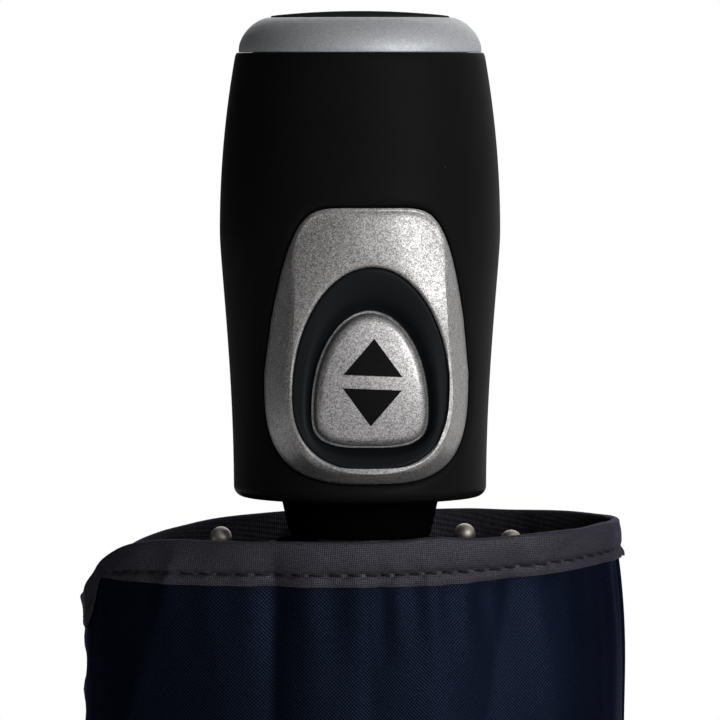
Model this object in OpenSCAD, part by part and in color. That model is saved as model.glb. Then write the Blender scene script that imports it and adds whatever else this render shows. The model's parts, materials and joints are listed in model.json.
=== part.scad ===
// Compact folding umbrella with an automatic handle: closed, furled and standing in its cloth cover.
// Millimetres, +Z up. The origin is on the shaft's axis, in the plane of the cover's base.
// The handle is at the top, the crown at the bottom, and the push button faces -Y.

/* [Handle] */
// Widest diameter of the grip
grip_d = 38; // [35:0.5:46]
// Diameter of the grip under the end ring
grip_top_d = 33.6; // [31:0.2:34]
// Diameter of the grip at its lower edge
grip_bottom_d = 34.2; // [32:0.2:35]
// Length of the grip, from its lower edge to the end ring
grip_len = 60; // [58:1:74]
// Wall of the grip shell
grip_wall = 2.2; // [1.8:0.1:2.6]
// Height of the end ring
ring_h = 4.7; // [4:0.1:6]
// Rise of the end disc's dome over the ring
disc_rise = 0.9; // [0.5:0.1:1.5]

/* [Button] */
// Width of the push button
button_w = 15.2; // [12:0.1:16]
// Height of the push button
button_h = 18.2; // [16:0.1:19]
// Travel of the push button
button_travel = 2.5; // [1.5:0.1:2.8]
// Gap round the button
button_gap = 0.35; // [0.2:0.05:0.5]
// Width of the bezel round the button
bezel_w = 27.2; // [26:0.1:28]
// Height of the bezel
bezel_h = 37; // [36.5:0.1:38]

/* [Shaft] */
// Outer diameter of the largest tube
shaft_d = 13; // [11:0.1:13.2]
// Wall of each tube
tube_wall = 0.5; // [0.4:0.05:0.6]
// Radial gap between one tube and the next
tube_gap = 0.15; // [0.1:0.01:0.2]

/* [Frame] */
// Number of ribs
rib_count = 8; // [6:1:8]
// Width of a top rib's channel
rib_w = 3.2; // [2.8:0.1:3.4]
// Wall of a top rib's channel
rib_wall = 0.5; // [0.4:0.05:0.7]
// Diameter of the rivets
rivet_d = 1.4; // [1:0.1:1.5]
// Diameter of a rib's tip
tip_d = 3; // [2.6:0.1:3.2]

/* [Cover] */
// Height of the cloth cover
cover_len = 214.5; // [205:0.5:262]
// Width of the cover
cover_w = 74; // [66:1:90]
// Depth of the cover, front to back
cover_depth = 56; // [55:1:64]
// Wall of the cover
cover_wall = 1; // [0.6:0.1:1.2]
// Height of the tape that binds the cover's mouth
tape_h = 5; // [4:0.5:8]

/* [Hidden] */
// General
fit = 0.05;                 // clearance of parts that are fixed to each other
free = 0.3;                 // clearance of parts that move past each other
round_fn = 64;

// Heights along the shaft
mouth_gap = 4.8;            // cover's mouth to the grip
neck_h = 5.4;               // neck below the grip
grip_z = cover_len + mouth_gap;
ring_z = grip_z + grip_len;
neck_z = grip_z - neck_h;
crown_z = 9;                // underside of the top notch
notch_h = 8;
rib_pivot_z = crown_z + 5;
runner_top = neck_z - 0.5;
runner_flange_h = 8;
runner_h = 25;
stretcher_pivot_z = runner_top - 4;
elbow_z = runner_top - 23;  // top rib to middle rib
knee_z = rib_pivot_z + 14;  // middle rib to outer rib
joint_z = rib_pivot_z + 0.6 * (elbow_z - rib_pivot_z);  // stretcher to top rib

// Tubes
outer_r = shaft_d / 2;
middle_r = outer_r - tube_wall - tube_gap;
inner_r = middle_r - tube_wall - tube_gap;
bush_h = 2.5;
bush_gap = 0.05;
outer_tube_z = crown_z + 2;
outer_tube_top = runner_top - 0.5;
middle_tube_z = outer_tube_z + 5;
middle_tube_top = neck_z + 2.5;
inner_tube_z = middle_tube_z + 4;
inner_tube_top = ring_z - 14;
plug_h = 7;
pin_z = inner_tube_top - 3.5;

// Radial layers of the folded ribs, from the shaft outwards
runner_bore_r = outer_r + 0.15;
runner_wall = 0.8;
stretcher_u = runner_bore_r + runner_wall + 0.15;
stretcher_t = 1.6;
stretcher_w = 2;
top_rib_u = stretcher_u + stretcher_t + 0.4;
top_rib_t = 2;
middle_rib_u = top_rib_u + top_rib_t + 0.4;
middle_rib_t = 1.8;
middle_rib_w = 2.6;
outer_rib_d = 2;
outer_rib_u = middle_rib_u + middle_rib_t + 0.5 + outer_rib_d / 2;
tip_u = outer_rib_u + 5.2;
ear_t = 0.6;
ear_gap = 0.15;
ear_len = 6;
first_rib = -150;           // direction of the first rib, from +X
bend_drop = 26;             // the outer rib leans out over this length under its tip
runner_r = stretcher_u + stretcher_t + 2;
notch_r = top_rib_u + top_rib_t + 0.6;
wire_r = 0.45;
wire_gap = 0.03 + pow(rib_w / 2, 2) / (2 * top_rib_u + top_rib_t);  // the wire bends, its hole is straight

// Canopy, folded round the ribs
canopy_bore_r = outer_rib_u + outer_rib_d / 2 + 1.2;
canopy_mouth_r = tip_u + 1.4;
canopy_r = canopy_mouth_r + 3;
canopy_pleat = 1.2;
canopy_floor_z = crown_z - 1.4;
canopy_top = cover_len - 8;
strap_h = 16;
strap_t = 0.6;
strap_z = canopy_top - 52;
snap_r = 5;
snap_turn = -45;            // direction of the strap's press stud, from +X

// Grip
grip_r = grip_d / 2;
grip_top_r = grip_top_d / 2;
grip_bottom_r = grip_bottom_d / 2;
waist_z = grip_z + 0.6 * grip_len;
floor_h = 2.2;              // grip's floor
edge_r = 1.3;               // rounding of the grip's lower edge
neck_top_r = 10.8;
neck_bottom_r = 9.6;

// Button and bezel, in the grip's front
bezel_z = grip_z + 17.2;    // widest place of each outline
bezel_up = 22.2;
cutout_z = grip_z + 14.6;
cutout_r = 10.4;
cutout_up = 17;
cutout_down = 9.7;
button_z = grip_z + 12.6;
button_up = button_h - 5;
button_down = 5;
face_y = -(grip_r + 0.4);   // front of the bezel, on the middle line
face_bend = 30;             // radius of the bezel's face, seen from above
bezel_flank = 2.2;
bezel_back = -9.1;
dish_y = face_y + 2.5;      // insert's edge next to the button
plate_back = face_y + 3.8;
button_y = face_y + 0.5;
button_flange = 0.9;
button_back = plate_back + 0.3 + button_flange;
stem_r = 1.8;
seat_y = -8.6;              // where the button spring stands
spring_z = button_z + 4.5;
latch_z = button_z - 2.9;
latch_t = 1.6;
latch_w = 14;
latch_front = button_back + 0.1;
latch_rear = inner_r + button_travel;
spring_len = 4.8;
housing_rear = latch_rear + spring_len;
housing_w = 19;
cradle_t = 1.6;

// ---------- shapes that repeat ----------

// A signed power, for the outlines below.
function spow(v, p) = sign(v) * pow(abs(v), p);

// An egg-like outline: half width r, up and down from its widest place, each half a superellipse.
function egg(r, up, down, up_n = 2, down_n = 2.6, taper = 0, count = 48) =
    [for (i = [0:count - 1])
        let (a = 360 * i / count, top = cos(a) >= 0,
             n = top ? up_n : down_n,
             z = (top ? up : down) * spow(cos(a), 2 / n))
        [r * spow(sin(a), 2 / n) * (top ? 1 - taper * z / up : 1), z]];

function bezel_outline(inset) =
    egg(bezel_w / 2 - inset, bezel_up - inset, bezel_h - bezel_up - inset, 4.5, 3.3, 0.2);
function cutout_outline(inset) =
    egg(cutout_r - inset, cutout_up - inset, cutout_down - inset, 2, 2.4);
function button_outline(inset) =
    egg(button_w / 2 - inset, button_up - inset, button_down - inset, 2, 3.3);

// An outline lifted to height z and put on the face, at depth y behind the middle line's front.
function on_face(outline, z, y, bend) =
    [for (p = outline) [p[0], y + bend - sqrt(bend * bend - p[0] * p[0]), z + p[1]]];
function flat_at(outline, z, y) = [for (p = outline) [p[0], y, z + p[1]]];

// A solid through closed rings of equally many points: a plug with two flat ends, or a loop.
module rings(list, loop = false) {
    n = len(list[0]);
    m = len(list);
    sides = [for (j = [0:m - (loop ? 1 : 2)], i = [0:n - 1])
        let (k = (j + 1) % m, l = (i + 1) % n)
        each [[j * n + i, k * n + i, k * n + l], [j * n + i, k * n + l, j * n + l]]];
    ends = loop ? [] : [[for (i = [0:n - 1]) i], [for (i = [n - 1:-1:0]) (m - 1) * n + i]];
    polyhedron([for (ring = list) each ring], concat(sides, ends), convexity = 6);
}

// A compression spring along +Z from z = 0, drawn as a wire of five sides.
module coil(r, wire, length, turns) {
    steps = 10;
    sides = 5;
    rise = length - wire * 2;
    rings([for (i = [0:turns * steps])
        let (a = 360 * i / steps, z = wire + rise * i / (turns * steps))
        [for (s = [0:sides - 1])
            let (b = -360 * s / sides, q = r + wire * cos(b))
            [q * cos(a), q * sin(a), z + wire * sin(b)]]]);
}

module tube(r, bore, z, top) {
    difference() {
        translate([0, 0, z]) cylinder(r = r, h = top - z, $fn = round_fn);
        translate([0, 0, z - 1]) cylinder(r = bore, h = top - z + 2, $fn = round_fn);
    }
}

module ring_wire(r, wire, z) {
    translate([0, 0, z]) rotate_extrude($fn = round_fn) translate([r, 0]) circle(r = wire, $fn = 24);
}

// A pin across a rib, through radius u and height z, in the rib's own frame.
module cross_pin(u, z, r, length) {
    translate([u, length / 2, z]) rotate([90, 0, 0]) cylinder(r = r, h = length, $fn = 24);
}

// Its children at rib k, whose own frame has X outwards.
module at_rib(k) {
    rotate([0, 0, first_rib + k * 360 / rib_count]) children();
}
module at_ribs() {
    for (k = [0:rib_count - 1]) at_rib(k) children();
}

// Two ears that straddle a bar of the given width, with the hole for their rivet.
module fork(u, depth, bar_w, z, pivot_u) {
    difference() {
        for (side = [-1, 1])
            translate([u, side * (bar_w / 2 + ear_gap + ear_t / 2) - ear_t / 2, z - ear_len / 2])
                cube([depth, ear_t, ear_len]);
        cross_pin(pivot_u, z, rivet_d / 2 + fit, bar_w + 4);
    }
}
function fork_w(bar_w) = bar_w + 2 * (ear_gap + ear_t);

// ---------- grip, ring and disc ----------

// Radius of the grip's outside at height z: one arc above the waist, a soft taper below it.
soft = 0.1;
function taper(t) = (sqrt(pow(sin(90 * t), 2) + soft * soft) - soft) / (sqrt(1 + soft * soft) - soft);
function grip_radius(z) = z >= waist_z
    ? grip_r - (grip_r - grip_top_r) * pow((z - waist_z) / (ring_z - waist_z), 2)
    : grip_r - (grip_r - grip_bottom_r) * taper((waist_z - z) / (waist_z - grip_z));

// Half section of the grip's outside, taken in by an amount, from height z to height top.
function grip_side(inset, z, top, steps = 14) =
    [for (i = [0:steps]) let (h = z + (top - z) * i / steps) [grip_radius(h) - inset, h]];

module grip_solid(inset, z, top) {
    rotate_extrude($fn = round_fn)
        polygon(concat([[0, z]], grip_side(inset, z, top), [[0, top]]));
}

module grip_shell() {
    edge = [for (a = [-80:20:-20]) [grip_radius(grip_z + edge_r) - edge_r + edge_r * cos(a),
                                   grip_z + edge_r + edge_r * sin(a)]];
    color([0.06, 0.06, 0.06]) difference() {
        rotate_extrude($fn = round_fn)
            polygon(concat([[0, grip_z]], edge, grip_side(0, grip_z + edge_r, ring_z), [[0, ring_z]]));
        grip_solid(grip_wall, grip_z + floor_h, ring_z + 1);
        translate([0, 0, grip_z - 1]) cylinder(r = neck_top_r + fit, h = floor_h + 2, $fn = round_fn);
        bezel_hole();
    }
}

// The grip's opening for the bezel, on the -Y side only.
module bezel_hole() {
    translate([0, bezel_back + fit, bezel_z]) rotate([90, 0, 0])
        linear_extrude(grip_r) polygon(bezel_outline(-0.15));
}

ring_skirt = 3;             // the ring's skirt inside the grip
ring_top_r = grip_top_r - 4.6;

module end_ring() {
    ring_r = grip_top_r - 0.4;
    skirt_r = grip_top_r - grip_wall - 0.1;
    shoulder = [for (a = [0:15:90]) [ring_top_r + (ring_r - ring_top_r) * cos(a),
                                     ring_z + 0.4 + (ring_h - 0.4) * sin(a)]];
    color("silver") rotate_extrude($fn = round_fn)
        polygon(concat(
            [[ring_top_r - 2.4, ring_z - ring_skirt], [skirt_r, ring_z - ring_skirt],
             [skirt_r, ring_z + fit], [ring_r, ring_z + fit]],
            shoulder,
            [[ring_top_r, ring_z + ring_h - 1.2], [ring_top_r - 2.4, ring_z + ring_h - 1.2]]));
}

module end_disc() {
    disc_r = ring_top_r - fit;
    plug_r = ring_top_r - 2.4 - fit;
    base = ring_z + ring_h - 1.2 + fit;
    dome = [for (i = [0:6]) [disc_r * (1 - i / 6),
                             ring_z + ring_h + disc_rise * (1 - pow(1 - i / 6, 2))]];
    color([0.12, 0.13, 0.13]) rotate_extrude($fn = round_fn)
        polygon(concat([[0, base - 3], [plug_r, base - 3], [plug_r, base], [disc_r, base]], dome));
}

// ---------- button, bezel and latch ----------

module button_bezel() {
    color("silver") rings([
        flat_at(cutout_outline(0), cutout_z, bezel_back),
        on_face(cutout_outline(0), cutout_z, face_y, face_bend),
        on_face(bezel_outline(bezel_flank + 0.6), bezel_z, face_y, face_bend),
        on_face(bezel_outline(bezel_flank), bezel_z, face_y + 0.15, face_bend),
        [for (p = bezel_outline(0))
            [p[0], -sqrt(pow(grip_radius(bezel_z + p[1]), 2) - p[0] * p[0]) - 0.1, bezel_z + p[1]]],
        flat_at(bezel_outline(0), bezel_z, bezel_back)], loop = true);
}

module bezel_insert() {
    skirt = 0.9;            // wall behind the plate
    color([0.1, 0.11, 0.12]) rings([
        flat_at(cutout_outline(skirt), cutout_z, bezel_back),
        flat_at(cutout_outline(skirt), cutout_z, plate_back),
        flat_at(button_outline(-button_gap), button_z, plate_back),
        flat_at(button_outline(-button_gap), button_z, dish_y),
        on_face(cutout_outline(0.1), cutout_z, face_y + 0.9, face_bend),
        flat_at(cutout_outline(0.1), cutout_z, bezel_back)], loop = true);
}

module push_button() {
    color("silver") {
        rings([
            flat_at(button_outline(3), button_z, button_y),
            flat_at(button_outline(1), button_z, button_y + 0.15),
            flat_at(button_outline(0.3), button_z, button_y + 0.45),
            flat_at(button_outline(0), button_z, button_y + 1),
            flat_at(button_outline(0), button_z, button_back - button_flange),
            flat_at(button_outline(-0.5), button_z, button_back - button_flange),
            flat_at(button_outline(-0.5), button_z, button_back)]);
        translate([0, button_back, spring_z]) rotate([-90, 0, 0])
            cylinder(r = stem_r, h = seat_y - button_back - button_travel - 0.4, $fn = 32);
    }
}

// Printed arrows: open above, close below.
module button_arrows() {
    half = 4;
    tall = 5;
    gap = 1.6;
    middle = button_z + 3;
    color([0.04, 0.04, 0.04]) for (side = [-1, 1])
        translate([0, button_y - 0.02, middle + side * gap / 2]) rotate([90, 0, 0])
            linear_extrude(0.1) polygon([[-half, 0], [half, 0], [0, side * tall]]);
}

module button_spring() {
    color("gray") translate([0, button_back + 0.05, spring_z]) rotate([-90, 0, 0])
        coil(stem_r + 0.75, 0.25, seat_y - button_back - 0.1, 5);
}

// Slides with the button. Its window goes round the inner tube, and its rear edge is the catch.
module latch_plate() {
    window_front = -(inner_r + button_travel + free);
    window_rear = inner_r + free;
    window_w = 2 * (inner_r + free);
    color("darkgray") difference() {
        translate([-latch_w / 2, latch_front, latch_z])
            cube([latch_w, latch_rear - latch_front, latch_t]);
        translate([-window_w / 2, window_front, latch_z - 1])
            cube([window_w, window_rear - window_front, latch_t + 2]);
    }
}

module latch_spring() {
    color("gray") translate([0, latch_rear + 0.05, latch_z + latch_t / 2]) rotate([-90, 0, 0])
        coil(1.5, 0.2, spring_len - 0.1, 4);
}

// ---------- core, neck and pins ----------

screw_u = 8;                // neck screws, from the shaft's axis along X
screw_r = 0.9;
core_z = grip_z + floor_h;
core_base_h = 3;
core_top_h = 3;
core_bore_r = inner_r + fit;

module handle_core() {
    column_r = core_bore_r + 3;
    housing_top = spring_z + 8;
    color([0.2, 0.2, 0.2]) difference() {
        union() {
            grip_solid(grip_wall + 0.15, core_z, core_z + core_base_h);
            translate([0, 0, core_z]) cylinder(r = column_r, h = inner_tube_top + 1 - core_z, $fn = round_fn);
            grip_solid(grip_wall + 0.15, inner_tube_top - core_top_h, inner_tube_top);
            intersection() {
                grip_solid(grip_wall + 0.15, core_z, bezel_z + bezel_up);
                union() {
                    translate([-housing_w / 2, seat_y, core_z])
                        cube([housing_w, housing_rear + 1.2 - seat_y, housing_top - core_z]);
                    translate([-bezel_w / 2, bezel_back + 0.1, core_z])
                        cube([bezel_w, cradle_t, bezel_z + bezel_up - core_z]);
                }
            }
        }
        // nothing of the core stands in the grip's opening in front of its cradle
        translate([-grip_r, -2 * grip_r + bezel_back + 0.1, core_z + core_base_h])
            cube([2 * grip_r, 2 * grip_r, bezel_up + bezel_z - core_z - core_base_h]);
        bezel_clearance();
        translate([0, 0, core_z - 1]) cylinder(r = core_bore_r, h = inner_tube_top - core_z, $fn = round_fn);
        translate([0, 0, core_z - 1]) cylinder(r = core_bore_r, h = grip_len, $fn = round_fn);
        latch_slot();
        translate([0, seat_y, spring_z]) rotate([90, 0, 0]) cylinder(r = stem_r + 1.4, h = 2, $fn = 32);
        cross_pin(0, pin_z, 1 + fit, 2 * grip_r);
        for (side = [-1, 1])
            translate([side * screw_u, 0, core_z - 1]) cylinder(r = screw_r + fit, h = 20, $fn = 24);
    }
}

// Room in the core's base for the lower end of the bezel and its insert.
module bezel_clearance() {
    translate([0, bezel_back + 0.1, bezel_z]) rotate([90, 0, 0])
        linear_extrude(grip_r) polygon(bezel_outline(-0.3));
}

module latch_slot() {
    slack = 0.2;
    translate([-latch_w / 2 - slack, bezel_back - 1, latch_z - slack])
        cube([latch_w + 2 * slack, housing_rear + 1 - bezel_back, latch_t + 2 * slack]);
    translate([0, latch_rear - 1, latch_z + latch_t / 2]) rotate([-90, 0, 0])
        cylinder(r = 2, h = housing_rear + 1 - latch_rear, $fn = 32);
}

// The collar between grip and cover. Its top meets the core's underside.
module neck_collar() {
    bore = middle_r + free;
    color([0.05, 0.05, 0.05]) difference() {
        rotate_extrude($fn = round_fn)
            polygon([[0, neck_z], [neck_bottom_r, neck_z], [neck_top_r - 0.1, grip_z - 0.1],
                     [neck_top_r, grip_z], [neck_top_r, core_z], [0, core_z]]);
        translate([0, 0, neck_z - 1]) cylinder(r = bore, h = grip_len, $fn = round_fn);
        for (side = [-1, 1])
            translate([side * screw_u, 0, neck_z + 2]) cylinder(r = screw_r + fit, h = 20, $fn = 24);
    }
}

module neck_screws() {
    color("silver") for (side = [-1, 1])
        translate([side * screw_u, 0, neck_z + 2.3])
            cylinder(r = screw_r, h = core_z + 1.8 - neck_z, $fn = 24);
}

module tube_pin() {
    color("silver") cross_pin(0, pin_z, 1, 2 * (core_bore_r + 2.6));
}

// Closes the inner tube at the top, where the main spring pushes.
module spring_plug() {
    color([0.3, 0.3, 0.3]) difference() {
        translate([0, 0, inner_tube_top - plug_h])
            cylinder(r = inner_r - tube_wall - fit, h = plug_h, $fn = round_fn);
        cross_pin(0, pin_z, 1 + fit, 2 * inner_r);
    }
}

// ---------- shaft ----------

module inner_tube() {
    color("lightgray") difference() {
        tube(inner_r, inner_r - tube_wall, inner_tube_z, inner_tube_top);
        cross_pin(0, pin_z, 1 + fit, 3 * inner_r);
    }
}
module inner_bush() {
    color([0.2, 0.2, 0.2])
        tube(middle_r - tube_wall - bush_gap, inner_r - tube_wall, inner_tube_z - bush_h, inner_tube_z);
}
module middle_tube() {
    color("lightgray") tube(middle_r, middle_r - tube_wall, middle_tube_z, middle_tube_top);
}
module middle_bush() {
    color([0.2, 0.2, 0.2])
        tube(outer_r - tube_wall - bush_gap, middle_r - tube_wall, middle_tube_z - bush_h, middle_tube_z);
}
module outer_tube() {
    color([0.15, 0.15, 0.15]) tube(outer_r, outer_r - tube_wall, outer_tube_z, outer_tube_top);
}
module main_spring() {
    turns = 36;
    length = inner_tube_top - plug_h - outer_tube_z - 0.2;
    color("gray") translate([0, 0, outer_tube_z + 0.1])
        coil(inner_r - tube_wall - 1, 0.45, length, turns);
}

// ---------- crown, runner and ribs ----------

module top_notch() {
    slot_w = rib_w + 0.3;
    color([0.1, 0.1, 0.1]) difference() {
        translate([0, 0, crown_z]) cylinder(r = notch_r, h = notch_h, $fn = round_fn);
        translate([0, 0, outer_tube_z]) cylinder(r = outer_r + fit, h = notch_h, $fn = round_fn);
        translate([0, 0, crown_z - 1]) cylinder(r = 2 + fit, h = 4, $fn = 32);
        at_ribs() translate([top_rib_u - 0.3, -slot_w / 2, rib_pivot_z - 2.6])
            cube([notch_r, slot_w, notch_h]);
        ring_wire(top_rib_u + top_rib_t / 2, wire_r + 0.05, rib_pivot_z);
    }
}
module notch_wire() {
    color("silver") ring_wire(top_rib_u + top_rib_t / 2, wire_r, rib_pivot_z);
}

// The cap over the crown, outside the canopy, with a peg into the notch.
module tip_cap() {
    cap_r = notch_r - 1;
    base = cover_wall + free;
    rounding = [for (a = [-90:15:0]) [cap_r - 2 + 2 * cos(a), base + 2 + 2 * sin(a)]];
    color([0.08, 0.08, 0.08]) rotate_extrude($fn = round_fn)
        polygon(concat([[0, base]], rounding,
                       [[cap_r, canopy_floor_z - 0.05], [2, canopy_floor_z - 0.05],
                        [2, crown_z + 1.8], [0, crown_z + 1.8]]));
}

module runner() {
    slot_w = stretcher_w + 0.4;
    color([0.1, 0.1, 0.1]) difference() {
        union() {
            translate([0, 0, runner_top - runner_h])
                cylinder(r = runner_bore_r + runner_wall, h = runner_h, $fn = round_fn);
            translate([0, 0, runner_top - runner_flange_h])
                cylinder(r = runner_r, h = runner_flange_h, $fn = round_fn);
        }
        translate([0, 0, runner_top - runner_h - 1])
            cylinder(r = runner_bore_r, h = runner_h + 2, $fn = round_fn);
        at_ribs() translate([stretcher_u - 0.1, -slot_w / 2, runner_top - runner_flange_h - 1])
            cube([runner_r, slot_w, runner_flange_h - 0.4]);
        ring_wire(stretcher_u + stretcher_t / 2, wire_r + 0.05, stretcher_pivot_z);
    }
}
module runner_wire() {
    color("silver") ring_wire(stretcher_u + stretcher_t / 2, wire_r, stretcher_pivot_z);
}

// Steel channel, open outwards, with solid ends for its pins.
module top_rib(k) {
    end_len = 5;
    z = rib_pivot_z - 2;
    length = elbow_z + 2 - z;
    color("silver") at_rib(k) difference() {
        translate([top_rib_u, -rib_w / 2, z]) cube([top_rib_t, rib_w, length]);
        for (span = [[z + end_len, joint_z - 3], [joint_z + 3, z + length - end_len]])
            translate([top_rib_u + rib_wall, -rib_w / 2 + rib_wall, span[0]])
                cube([top_rib_t, rib_w - 2 * rib_wall, span[1] - span[0]]);
        cross_pin(top_rib_u + top_rib_t / 2, rib_pivot_z, wire_r + wire_gap, rib_w + 2);
        cross_pin(top_rib_u + top_rib_t / 2, joint_z, rivet_d / 2 + fit, rib_w + 2);
        cross_pin(top_rib_u + top_rib_t / 2, elbow_z, rivet_d / 2 + fit, rib_w + 2);
    }
}

module stretcher(k) {
    z = joint_z - ear_len / 2;
    pivot_u = top_rib_u + top_rib_t / 2;
    color("silver") at_rib(k) {
        difference() {
            translate([stretcher_u, -stretcher_w / 2, z])
                cube([stretcher_t, stretcher_w, stretcher_pivot_z + 1.5 - z]);
            cross_pin(stretcher_u + stretcher_t / 2, stretcher_pivot_z, wire_r + wire_gap, stretcher_w + 2);
        }
        translate([stretcher_u, -fork_w(rib_w) / 2, z]) cube([stretcher_t, fork_w(rib_w), ear_len]);
        fork(stretcher_u, pivot_u + 1.1 - stretcher_u, rib_w, joint_z, pivot_u);
    }
}

module middle_ribs() {
    pivot_u = top_rib_u + top_rib_t / 2;
    z = knee_z - 2;
    color("silver") at_ribs() {
        difference() {
            translate([middle_rib_u, -middle_rib_w / 2, z])
                cube([middle_rib_t, middle_rib_w, elbow_z + ear_len / 2 - z]);
            cross_pin(middle_rib_u + middle_rib_t / 2, knee_z, rivet_d / 2 + fit, middle_rib_w + 2);
        }
        translate([middle_rib_u, -fork_w(rib_w) / 2, elbow_z - ear_len / 2])
            cube([middle_rib_t, fork_w(rib_w), ear_len]);
        fork(pivot_u - 1.1, middle_rib_u + middle_rib_t - pivot_u + 1.1, rib_w, elbow_z, pivot_u);
    }
}

tip_z = cover_len - 1.6;
module outer_ribs() {
    pivot_u = middle_rib_u + middle_rib_t / 2;
    bend_z = tip_z - bend_drop;
    lean = atan2(tip_u - outer_rib_u, bend_drop);
    color("silver") at_ribs() {
        translate([outer_rib_u - outer_rib_d / 2 - 0.1, -fork_w(middle_rib_w) / 2, knee_z - ear_len / 2])
            cube([outer_rib_d + 0.2, fork_w(middle_rib_w), ear_len]);
        fork(pivot_u - 1.1, outer_rib_u - pivot_u + 1.1, middle_rib_w, knee_z, pivot_u);
        translate([outer_rib_u, 0, knee_z]) cylinder(d = outer_rib_d, h = bend_z - knee_z, $fn = 24);
        translate([outer_rib_u, 0, bend_z]) {
            sphere(d = outer_rib_d + 0.3, $fn = 24);
            rotate([0, lean, 0]) cylinder(d = outer_rib_d, h = bend_drop / cos(lean) - tip_d / 2, $fn = 24);
        }
    }
}
module rib_tips() {
    color([0.75, 0.72, 0.68]) at_ribs() translate([tip_u, 0, tip_z + 0.1]) sphere(d = tip_d, $fn = 32);
}

module joint_rivets() {
    color("gray") at_ribs()
        cross_pin(top_rib_u + top_rib_t / 2, joint_z, rivet_d / 2, fork_w(rib_w) + 0.4);
}
module elbow_rivets() {
    color("gray") at_ribs()
        cross_pin(top_rib_u + top_rib_t / 2, elbow_z, rivet_d / 2, fork_w(rib_w) + 0.4);
}
module knee_rivets() {
    color("gray") at_ribs()
        cross_pin(middle_rib_u + middle_rib_t / 2, knee_z, rivet_d / 2, fork_w(middle_rib_w) + 0.4);
}

// ---------- canopy, strap and cover ----------

// The furled cloth: eight flaps laid one over the next, open at the mouth where the tips stand.
module canopy() {
    flap = 360 / rib_count;
    points = 12;
    flare_z = tip_z - bend_drop - 4;
    color([0.06, 0.08, 0.14]) difference() {
        translate([0, 0, canopy_floor_z]) linear_extrude(canopy_top - canopy_floor_z)
            polygon([for (k = [0:rib_count - 1], i = [0:points - 1])
                let (a = first_rib + flap * (k + i / points), r = canopy_r - canopy_pleat * (1 - i / points))
                [r * cos(a), r * sin(a)]]);
        rotate_extrude($fn = round_fn) polygon([
            [0, crown_z - fit], [notch_r + 0.4, crown_z - fit], [notch_r + 0.4, knee_z - 8],
            [canopy_bore_r, knee_z - 5], [canopy_bore_r, flare_z],
            [canopy_mouth_r, canopy_top - 4], [canopy_mouth_r, canopy_top + 1], [0, canopy_top + 1]]);
        translate([0, 0, canopy_floor_z - 1]) cylinder(r = 2 + fit, h = 5, $fn = 32);
    }
}

strap_r = canopy_r + 0.1;
module canopy_strap() {
    color([0.06, 0.08, 0.14]) tube(strap_r + strap_t, strap_r, strap_z, strap_z + strap_h);
}
module strap_snap() {
    rotate([0, 0, snap_turn]) translate([strap_r + strap_t + 0.05, 0, strap_z + strap_h / 2])
        rotate([0, 90, 0]) color("silver") {
            cylinder(r = snap_r, h = 0.8, $fn = 32);
            cylinder(r = snap_r * 0.5, h = 1.2, $fn = 32);
        }
}

function ellipse(a, b, count = 72) =
    [for (i = [0:count - 1]) [a * cos(360 * i / count), b * sin(360 * i / count)]];

module cover() {
    color([0.08, 0.1, 0.18]) difference() {
        linear_extrude(cover_len) polygon(ellipse(cover_w / 2, cover_depth / 2));
        translate([0, 0, cover_wall]) linear_extrude(cover_len)
            polygon(ellipse(cover_w / 2 - cover_wall, cover_depth / 2 - cover_wall));
    }
}

// Binding tape round the cover's mouth, on the outside.
tape_t = 0.4;
module cover_tape() {
    out = fit + tape_t;
    color([0.24, 0.23, 0.25]) translate([0, 0, cover_len - tape_h]) difference() {
        linear_extrude(tape_h) polygon(ellipse(cover_w / 2 + out, cover_depth / 2 + out));
        translate([0, 0, -1]) linear_extrude(tape_h + 2)
            polygon(ellipse(cover_w / 2 + fit, cover_depth / 2 + fit));
    }
}

// ---------- what is drawn ----------

grip_shell();
end_ring();
end_disc();
button_bezel();
bezel_insert();
push_button();
button_arrows();
button_spring();
latch_plate();
latch_spring();
handle_core();
neck_collar();
neck_screws();
tube_pin();
spring_plug();
inner_tube();
inner_bush();
middle_tube();
middle_bush();
outer_tube();
main_spring();
top_notch();
notch_wire();
tip_cap();
runner();
runner_wire();
middle_ribs();
outer_ribs();
rib_tips();
joint_rivets();
elbow_rivets();
knee_rivets();
canopy();
canopy_strap();
strap_snap();
cover();
cover_tape();
for (k = [0:rib_count - 1]) {
    top_rib(k);
    stretcher(k);
}
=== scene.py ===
import json
import math

import bmesh
import bpy
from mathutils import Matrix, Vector, noise


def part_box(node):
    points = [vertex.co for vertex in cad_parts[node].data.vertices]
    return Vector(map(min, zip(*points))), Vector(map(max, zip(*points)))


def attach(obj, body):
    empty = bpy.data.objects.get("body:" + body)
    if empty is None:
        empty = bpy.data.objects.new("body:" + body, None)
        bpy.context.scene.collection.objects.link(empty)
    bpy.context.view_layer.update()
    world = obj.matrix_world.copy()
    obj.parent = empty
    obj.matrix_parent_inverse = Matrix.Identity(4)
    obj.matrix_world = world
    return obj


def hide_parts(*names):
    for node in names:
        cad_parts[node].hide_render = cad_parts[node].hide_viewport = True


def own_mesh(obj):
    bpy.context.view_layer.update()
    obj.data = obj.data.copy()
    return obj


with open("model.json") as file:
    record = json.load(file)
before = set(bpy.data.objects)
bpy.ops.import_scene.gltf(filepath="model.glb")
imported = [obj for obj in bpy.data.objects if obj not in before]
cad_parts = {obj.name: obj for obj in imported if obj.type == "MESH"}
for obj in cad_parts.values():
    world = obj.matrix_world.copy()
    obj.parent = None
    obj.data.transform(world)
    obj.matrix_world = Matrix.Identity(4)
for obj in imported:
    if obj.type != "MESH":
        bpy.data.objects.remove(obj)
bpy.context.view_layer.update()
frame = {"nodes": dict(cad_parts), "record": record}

MM = 0.001
TURN = 2 * math.pi


# ---------------------------------------------------------------- small tools


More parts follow.
